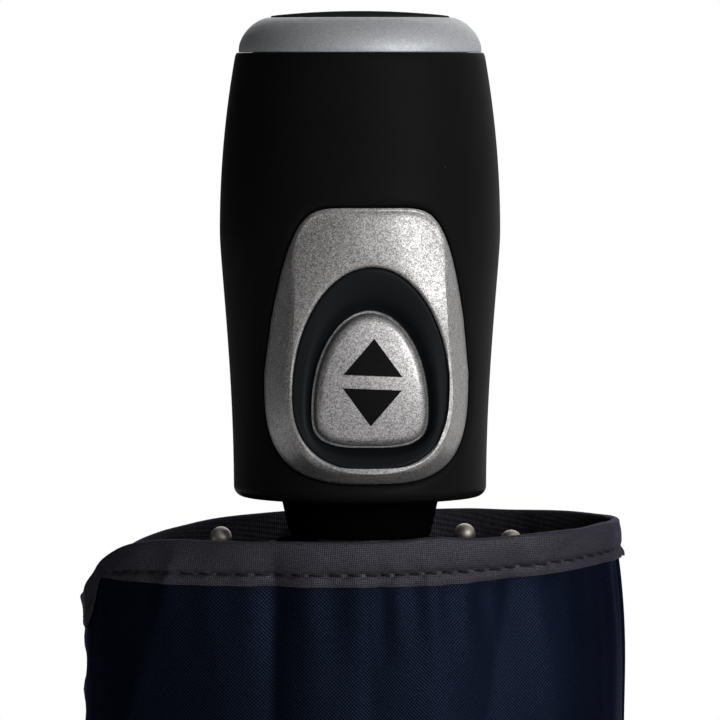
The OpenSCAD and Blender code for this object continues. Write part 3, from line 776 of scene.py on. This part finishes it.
def cover_point(angle, z, lift=0.0):
    """A point of the cover's cloth, lifted outwards."""
    x, y = cover_outline(angle, z)
    out = cover_fold(x, y, angle, z) + lift
    nx, ny = x / COVER_HALF ** 2, y / COVER_DEEP ** 2
    size = math.hypot(nx, ny)
    return x + nx / size * out, y + ny / size * out, z


def arc_lengths():
    """Distance round the cover from the seam to each column, at mid height."""
    rim = [Vector(cover_outline(TURN * i / COLUMNS, COVER_LEN * 0.6)) for i in range(COLUMNS + 1)]
    run = [0.0]
    for a, b in zip(rim, rim[1:]):
        run.append(run[-1] + (b - a).length)
    return [value - run[SEAM_COLUMN] for value in run]


RUN = arc_lengths()
GIRTH = RUN[COLUMNS] - RUN[0]


def run_at(column):
    """Distance round from the seam at a column, whole or not, also past the last one."""
    laps, column = divmod(column, COLUMNS)
    i = int(column)
    return mix(RUN[i], RUN[i + 1], column - i) + laps * GIRTH


def mouth_level(angle):
    """The mouth's height over the cover's box in millimetres, without its waves and its seam."""
    return 0.35 + 0.75 * max(math.cos(angle), 0) ** 2 + 0.2 * math.sin(angle)


def mouth_top(column):
    """Height of the mouth's edge: level, a little up at +X, and drawn down over the seam at -X."""
    s = abs(run_at(column)) / MM
    angle = TURN * column / COLUMNS
    rise = mouth_level(angle)
    wave = 0.22 * wander(math.cos(angle) * 4, math.sin(angle) * 4, 0.3, 1.7)
    bump = 0.45 * math.exp(-((s - 62) / 4) ** 2) if math.sin(angle) < 0 else 0
    reach = 10.5 if math.sin(angle) < 0 else 20.5
    return COVER_LEN + (rise + wave + bump - 9.2 * math.exp(-((s / reach) ** 1.6))) * MM


def tape_low(column):
    """Height of the tape's lower edge."""
    s = abs(run_at(column)) / MM
    angle = TURN * column / COLUMNS
    width = 5.5 - 0.8 * max(math.cos(angle), 0) ** 2
    reach = 6.5 if math.sin(angle) < 0 else 20
    return COVER_LEN + (mouth_level(angle) - width - 7.4 * smooth(1 - (s - 4) / reach)) * MM


def make_cover():
    top_rows, inner_rows = 170, 60
    corner = 3.0 * MM

    def side(share, lift):
        return [cover_point(TURN * i / COLUMNS, mix(corner, mouth_top(i) - 0.4 * MM, share), lift)
                for i in range(COLUMNS)]

    def base(share, height, lift):
        rim = [cover_point(TURN * i / COLUMNS, corner, lift) for i in range(COLUMNS)]
        return [(x * share, y * share, height) for x, y, _ in rim]

    def rounded(degrees):
        """A row of the rounded edge between base and side."""
        turn = math.radians(degrees)
        return base(1 - (1 - math.sin(turn)) * corner / COVER_DEEP, corner * (1 - math.cos(turn)), 0)

    outer = [base(share, 0.25 * MM * smooth(2 - share * 2.4), 0) for share in (0, 0.2, 0.4, 0.6, 0.75, 0.86)]
    outer += [rounded(degrees) for degrees in (10, 25, 40, 55, 70, 82)]
    outer += [side(i / top_rows, 0) for i in range(top_rows + 1)]
    inner = [side(i / inner_rows, -CLOTH) for i in range(inner_rows, -1, -1)]
    inner += [base(share, height * MM, -CLOTH)
              for share, height in ((0.93, 1.1), (0.8, 0.75), (0.5, 0.75), (0, 0.75))]

    def uv(column, row):
        height = outer[row][0][2] if row < len(outer) else COVER_LEN * 0.5
        return run_at(column), height
    piece = add("cover_cloth", outer + inner, "cover", look_of("cover_cloth"), "cover", uv=uv, crease=60)


TAPE_COLUMNS = 900
STITCH = 2.5 * MM
STITCH_AT = 0.72
TAPE_LIFT = 0.42 * MM
THREAD_R = 0.13 * MM
THREAD_SIDES = 7
STITCH_RINGS = 9


def tape_point(column, share, lift):
    """A point of the tape's outer layer: share runs from its lower edge to the mouth's edge."""
    low, top = tape_low(column), mouth_top(column)
    return cover_point(TURN * column / COLUMNS, mix(low, top, share), lift)


def tape_pucker(column, share):
    """The tape's dip along its line of stitches, deepest at each needle hole, and its slack between."""
    phase = run_at(column) / STITCH
    hole = 0.5 + 0.5 * math.cos(TURN * phase)
    line = math.exp(-(((1 - share - STITCH_AT) / 0.075) ** 2))
    slack = math.sin(math.pi * min(max((share - 0.3) / 0.7, 0), 1))
    puff = 0.18 * slack + 0.07 * slack * math.sin(TURN * phase * 0.5 + 1) * (1 - share)
    roll = 0.1 * math.exp(-(share / 0.06) ** 2)
    angle = TURN * column / COLUMNS
    flare = 0.5 * smooth((math.cos(angle) - 0.93) / 0.07) * (1 - share) ** 2
    ruffle = 0.09 * wander(run_at(column) / MM * 0.35, share * 3, 0.0, 4.2)
    sewn = smooth((abs(run_at(column)) / MM - 11) / 6)
    return (flare + ruffle - roll + sewn * (puff - line * (0.2 + 0.25 * hole))) * MM


def make_tape():
    outer_steps, inner_steps = 26, 8

    def row(share, lift, pucker=True):
        line = []
        for i in range(TAPE_COLUMNS):
            column = i * COLUMNS / TAPE_COLUMNS
            line.append(tape_point(column, share, lift + (tape_pucker(column, share) if pucker else 0)))
        return line

    def rolled(degrees):
        """A row of the fold over the mouth's edge: 0 is outside, and 180 inside."""
        turn, mid = math.radians(degrees), -CLOTH / 2
        lift = mid + (TAPE_LIFT - mid) * math.cos(turn)
        line = [tape_point(i * COLUMNS / TAPE_COLUMNS, 1.0, lift) for i in range(TAPE_COLUMNS)]
        return [(x, y, z + 0.55 * MM * math.sin(turn)) for x, y, z in line]

    hidden = [row(0.01, 0.08 * MM, False), row(0.6, 0.06 * MM, False)]
    lower = [row(0.0, 0.2 * MM), row(0.0, TAPE_LIFT)]
    outer = [row(i / outer_steps, TAPE_LIFT) for i in range(1, outer_steps)]
    over = [rolled(degrees) for degrees in (0, 25, 50, 75, 90, 105, 130, 155, 180)]
    inner = [row(1 - i / inner_steps, -CLOTH - TAPE_LIFT, False) for i in range(1, inner_steps + 1)]
    inner += [row(0.0, -CLOTH - 0.08 * MM, False), row(0.6, -CLOTH - 0.06 * MM, False)]
    rows = hidden[::-1] + lower + outer + over + inner
    rows.append(row(0.97, -CLOTH / 2, False))

    def uv(column, line):
        return run_at(column * COLUMNS / TAPE_COLUMNS), line * 0.24 * MM
    tape = add("tape", rows, "cover", look_of("cover_tape"), "cover_tape", uv=uv, loop=True, crease=75)
    make_stitches()


def stitch_ring(column, t):
    """The points round a stitch's thread: t runs from the end where it comes up to the end where it dips."""
    rise = math.sin(math.pi * t)
    share = 1 - STITCH_AT + 0.012 * math.sin(TURN * t)
    centre = Vector(tape_point(column, share, TAPE_LIFT + (-0.3 + 0.26 * rise) * MM))
    ahead = Vector(tape_point(column + 0.3, share, TAPE_LIFT))
    along = (ahead - Vector(tape_point(column - 0.3, share, TAPE_LIFT))).normalized()
    side = along.cross(Vector((0, 0, 1))).normalized()
    up = side.cross(along)
    radius = THREAD_R * (0.35 + 0.65 * math.sqrt(max(rise, 0)))
    turns = [TURN * i / THREAD_SIDES for i in range(THREAD_SIDES)]
    return [tuple(centre + side * radius * math.cos(a) + up * radius * math.sin(a)) for a in turns]


def stitch_faces(base):
    """The faces of one stitch whose first point has that number: its side, and its two ends."""
    faces = []
    for j in range(STITCH_RINGS - 1):
        lower, upper = base + j * THREAD_SIDES, base + (j + 1) * THREAD_SIDES
        for i in range(THREAD_SIDES):
            n = (i + 1) % THREAD_SIDES
            faces.append((lower + i, lower + n, upper + n, upper + i))
    last = base + (STITCH_RINGS - 1) * THREAD_SIDES
    faces.append(tuple(base + i for i in range(THREAD_SIDES)))
    faces.append(tuple(last + i for i in reversed(range(THREAD_SIDES))))
    return faces


def make_stitches():
    """A running stitch through the tape: short threads that dip at both ends."""
    count = int(GIRTH / STITCH)
    columns = [i / 4 for i in range(COLUMNS * 4)]
    runs = [run_at(column) for column in columns]
    points, faces = [], []
    for k in range(count):
        first = runs[0] + (k + 0.12) * GIRTH / count
        faces += stitch_faces(len(points))
        for j in range(STITCH_RINGS):
            t = j / (STITCH_RINGS - 1)
            wanted = first + t * STITCH * 0.76
            column = next((c for c, run in zip(columns, runs) if run >= wanted), columns[-1])
            points += stitch_ring(column, t)
    mesh = bpy.data.meshes.new("stitches")
    mesh.from_pydata(points, [], faces)
    layer = mesh.uv_layers.new(name="cloth")
    for loop in mesh.loops:
        at = mesh.vertices[loop.vertex_index].co
        layer.data[loop.index].uv = (at.x + at.y, at.z)
    return finish_piece("stitches", mesh, "cover", ("cover_tape", LOOKS["stitching"]), crease=80)


# ------------------------------------------------------------------ the canopy

CANOPY_LOW, CANOPY_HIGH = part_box("canopy")
CANOPY_R = CANOPY_HIGH[0]
CANOPY_Z, CANOPY_TOP = CANOPY_LOW[2], CANOPY_HIGH[2]
FLAPS = 8


def make_flap(index):
    """One furled fold of cloth. It starts on its rib and lies over the next fold."""
    length = CANOPY_TOP - CANOPY_Z
    start = TURN * (index - 0.2) / FLAPS
    wide, tall = 44, 110
    sweep = math.radians(112)
    thick = 0.5 * MM

    def radius(t, h):
        """t runs across the fold, from its root to its edge, and h from the crown to the mouth."""
        crown = smooth(h / 0.1)
        full = mix(20.6, 24.2, t) + 0.35 * wander(h * 5, t * 2, index * 3.3)
        drawn = mix(14.2, 15.6, t)
        return (mix(drawn, full, crown) + 0.25 * math.sin(math.pi * t) * crown) * MM

    def angle(t, h):
        edge = 1 + 0.05 * wander(h * 6, 0, index * 2.1) - 0.12 * (h - 0.5) ** 2
        twist = 0.5 * (1 - smooth(h / 0.5)) * 0.6
        return start + sweep * t * edge - twist + 0.05 * wander(h * 3, index, 0)

    def point(t, h, lift):
        r = min(radius(t, h) + lift, CANOPY_R - 0.05 * MM)
        a = angle(t, h)
        drop = 5 * MM * smooth((h - 0.93) / 0.07) * (0.5 + 0.5 * wander(t * 3, index, 2.0))
        return r * math.cos(a), r * math.sin(a), CANOPY_Z + length * h - drop

    rows = []
    for j in range(tall + 1):
        h = j / tall
        top = [point(i / wide, h, thick) for i in range(wide + 1)]
        edge = [point(1 + 0.006, h, thick * 0.5)]
        under = [point(i / wide, h, 0) for i in range(wide, -1, -1)]
        rows.append(top + edge + under)

    def uv(column, row):
        return column * 0.95 * MM, row / tall * length
    flap = add(f"canopy_fold_{index + 1}", rows, "frame", look_of("canopy_cloth"), uv=uv, crease=60)
    return cap_ends(flap, len(rows[0]), len(rows))


def cap_ends(piece, count, lines):
    """Closes the two open ends of a tube-like piece."""
    bm = bmesh.new()
    bm.from_mesh(piece.data)
    bmesh.ops.holes_fill(bm, edges=[e for e in bm.edges if e.is_boundary])
    bmesh.ops.triangulate(bm, faces=[f for f in bm.faces if len(f.verts) > 4])
    bmesh.ops.recalc_face_normals(bm, faces=bm.faces)
    bm.to_mesh(piece.data)
    bm.free()
    return piece


def make_canopy():
    folds = [make_flap(index) for index in range(FLAPS)]
    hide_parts("canopy")


def make_strap():
    """The canopy's closing band: a hemmed strip round the folds, its end lapped over and held by a stud."""
    low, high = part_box("canopy_strap")
    radius = high[0] - 0.55 * MM
    count = 240
    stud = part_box("strap_snap")
    at = math.atan2((stud[0][1] + stud[1][1]) / 2, (stud[0][0] + stud[1][0]) / 2)

    def point(i, share, lift):
        a = TURN * i / count
        hem = 0.12 * (math.exp(-((share - 0.1) / 0.05) ** 2) + math.exp(-((share - 0.9) / 0.05) ** 2))
        lap = 0.35 * smooth(1 - abs(math.remainder(a - at, TURN)) / 0.45)
        uneven = 0.1 * wander(3 * math.cos(a), 3 * math.sin(a), share)
        r = radius + (lift + lap - (hem if lift > 0.2 else 0) + uneven) * MM
        return r * math.cos(a), r * math.sin(a), mix(low[2], high[2], share)

    shares = [i / 16 for i in range(17)]
    rows = [[point(i, share, 0.45) for i in range(count)] for share in shares]
    rows += [[point(i, share, 0.05) for i in range(count)] for share in reversed(shares)]

    def uv(column, row):
        return TURN * radius * column / count, row * MM
    band = add("strap", rows, "frame", look_of("canopy_cloth"), "canopy_strap", uv=uv, loop=True, crease=60)


# Each tip's direction in degrees, its distance from the axis in millimetres, and how far it has sunk.
TIPS = ((-129, 20.5, 0), (-84, 20.6, 0.3), (-39, 20.3, 0.2), (11, 21.4, 0.3),
        (41, 20.6, 0.1), (96, 20.8, 0.4), (153, 20.6, 0), (188, 20.2, 2.2))


def rib_place(angle, radius, z):
    return Vector((radius * math.cos(angle), radius * math.sin(angle), z))


def make_ribs():
    """The outer ribs' wires and tips. Each starts in line with its slot, and leans over near its tip."""
    low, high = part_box("outer_ribs")
    tips_low, tips_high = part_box("rib_tips")
    tip_r = (tips_high[2] - tips_low[2]) / 2
    inner, wire_r = 15.3 * MM, 0.75 * MM
    wires, balls = [], []
    for index, (turned, reach, sunk) in enumerate(TIPS):
        start = math.radians(-150 + 45 * index)
        lean = math.radians(turned) - start
        top = tips_high[2] - tip_r - sunk * MM
        path = []
        for i in range(41):
            t = i / 40
            over = smooth((t - 0.72) / 0.28)
            radius = mix(inner, reach * MM, over)
            path.append(rib_place(start + lean * over, radius, mix(low[2] + MM, top, t)))
        wires += tube_rows(path, wire_r, 12)
        balls += ball_rows(path[-1], tip_r, 20, 28)
    add("outer_rib_wires", wires, "frame", look_of("rib_steel"), "outer_ribs", copies=len(TIPS), crease=50)
    add("rib_tip_balls", balls, "frame", look_of("tip_metal"), "rib_tips", copies=len(TIPS))


def make_spring(name, node, turns):
    """A small pressure spring behind the button."""
    low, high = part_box(node)
    wire = 0.22 * MM
    centre = (Vector(low) + Vector(high)) / 2
    radius = (high[0] - low[0]) / 2 - wire
    steps = 28 * turns
    path = []
    for i in range(steps + 1):
        angle = TURN * turns * i / steps
        y = mix(low[1] + wire, high[1] - wire, i / steps)
        x, z = centre.x + radius * math.cos(angle), centre.z + radius * math.sin(angle)
        path.append(Vector((x, y, z)))
    rows = tube_rows(path, wire, 10, (0, 1, 0))
    spring = add(name, rows, "handle", look_of("spring_steel"), node, crease=60)
    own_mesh(spring)


def tube_rows(path, radius, count, guide=(1, 0, 0)):
    """Rows of a round rod along a path that never runs along the guide, closed at both ends."""
    rows = [[tuple(path[0])] * count]
    for i, place in enumerate(path):
        along = (path[min(i + 1, len(path) - 1)] - path[max(i - 1, 0)]).normalized()
        side = along.cross(Vector(guide)).normalized()
        up = along.cross(side)
        turns = [TURN * k / count for k in range(count)]
        rows.append([tuple(place + radius * (side * math.cos(a) + up * math.sin(a))) for a in turns])
    return rows + [[tuple(path[-1])] * count]


def ball_rows(centre, radius, tall, count):
    """Rows of a rib's tip: a ball on a short neck."""
    turns = [mix(-0.98, math.pi / 2, i / tall) for i in range(tall + 1)]
    profile = [(0, -1.9), (0.55, -1.9), (0.55, -0.86)] + [(math.cos(a), math.sin(a)) for a in turns]
    return [[(centre.x + x, centre.y + y, centre.z + z * radius) for x, y, _ in circle(r * radius, 0, count)]
            for r, z in profile]


# ------------------------------------------------------------ room and camera


def make_room():
    """A pale floor that fades to white far out, the surround, and three soft lamps."""
    bpy.ops.mesh.primitive_circle_add(vertices=96, radius=1.6, fill_type="NGON")
    floor = bpy.context.object
    floor.name = "floor"
    look = Look("floor", (0.82, 0.82, 0.82), 0.7, Specular_IOR_Level=0.2)
    far = look.node("ShaderNodeVectorMath", operation="LENGTH")
    look.link(look.place(), far.inputs[0])
    seen = look.math("MULTIPLY", look.range(far.outputs["Value"], 0.35, 1.1, 0, 1), background_rays(look))
    glow = look.node("ShaderNodeEmission")
    blend = look.node("ShaderNodeMixShader")
    look.link(seen, blend.inputs[0])
    look.link(look.shader.outputs[0], blend.inputs[1])
    look.link(glow.outputs[0], blend.inputs[2])
    look.link(blend.outputs[0], look.nodes["Material Output"].inputs["Surface"])
    floor.data.materials.append(look.material)
    make_sky()
    lamp("key", (0.75, -0.95, 0.5), 0.6, 10.5)
    lamp("front", (0.25, -1.2, 0.55), 0.6, 2.0)
    lamp("back", (0.2, 1.0, 0.8), 0.9, 4.0)


def background_rays(graph):
    """1 for camera, glossy and transmission rays, and 0 for the others."""
    path = graph.node("ShaderNodeLightPath")
    total = graph.math("MAXIMUM", path.outputs["Is Camera Ray"], path.outputs["Is Glossy Ray"])
    return graph.math("MAXIMUM", total, path.outputs["Is Transmission Ray"])


# The surround's strength for diffuse rays and for glossy and transmission rays, the direction that it is
# brightest in, where along that direction its fade begins and ends, and its share at either end.
SKY_DIFFUSE, SKY_SHINE = 0.3, 1.0
SKY_SIDE = (0.95, -0.25, 0.1)
SKY_FROM, SKY_TO = -0.6, 0.75
SKY_DARK, SKY_BRIGHT = 0.06, 0.9


def make_sky():
    """Plain white to the camera. For every other ray it fades towards the object's left."""
    world = bpy.data.worlds.new("surround")
    bpy.context.scene.world = world
    world.use_nodes = True
    sky = Graph(world.node_tree)
    level = sky.range(background_rays(sky), 0, 1, SKY_DIFFUSE, SKY_SHINE)
    side = sky.node("ShaderNodeVectorMath", operation="DOT_PRODUCT")
    side.inputs[1].default_value = SKY_SIDE
    sky.link(sky.node("ShaderNodeTexCoord").outputs["Generated"], side.inputs[0])
    fade = sky.range(side.outputs["Value"], SKY_FROM, SKY_TO, SKY_DARK, SKY_BRIGHT)
    camera = sky.node("ShaderNodeLightPath").outputs["Is Camera Ray"]
    shown = sky.math("MAXIMUM", sky.math("MULTIPLY", level, fade), camera)
    background = sky.nodes["Background"]
    sky.link(shown, background.inputs["Strength"])
    background.inputs["Color"].default_value = (1, 1, 1, 1)


def lamp(name, place, size, power):
    data = bpy.data.lights.new(name, "AREA")
    data.size = size
    data.energy = power
    made = bpy.data.objects.new(name, data)
    made.location = place
    aim = Vector((0, 0, 0.2)) - Vector(place)
    made.rotation_euler = aim.to_track_quat("-Z", "Y").to_euler()
    bpy.context.collection.objects.link(made)


def make_camera():
    """Level with the end ring, a little to the left of the button, looking slightly down."""
    away, azimuth, height = 0.83, math.radians(-4.5), RING_Z - 0.3 * MM
    seen_wide, sensor = 97.4 * MM, 36
    target = Vector((0, 0, 237.7 * MM))
    data = bpy.data.cameras.new("camera")
    data.sensor_width = sensor
    data.lens = sensor / (seen_wide / away)
    data.clip_start = 0.01
    camera = bpy.data.objects.new("camera", data)
    camera.location = (away * math.sin(azimuth), -away * math.cos(azimuth), height)
    camera.rotation_euler = (target - camera.location).to_track_quat("-Z", "Y").to_euler()
    bpy.context.collection.objects.link(camera)
    bpy.context.scene.camera = camera


# ------------------------------------------------------------------ the scene

make_camera()
dress_frame()
make_grip()
make_ring()
make_disc()
make_bezel()
make_insert()
make_button()
make_arrows()
make_neck()
make_cover()
make_tape()
make_canopy()
make_strap()
make_ribs()
make_spring("button_return_spring", "button_spring", 5)
make_spring("latch_return_spring", "latch_spring", 4)
make_room()

bpy.context.scene.view_settings.view_transform = "Standard"
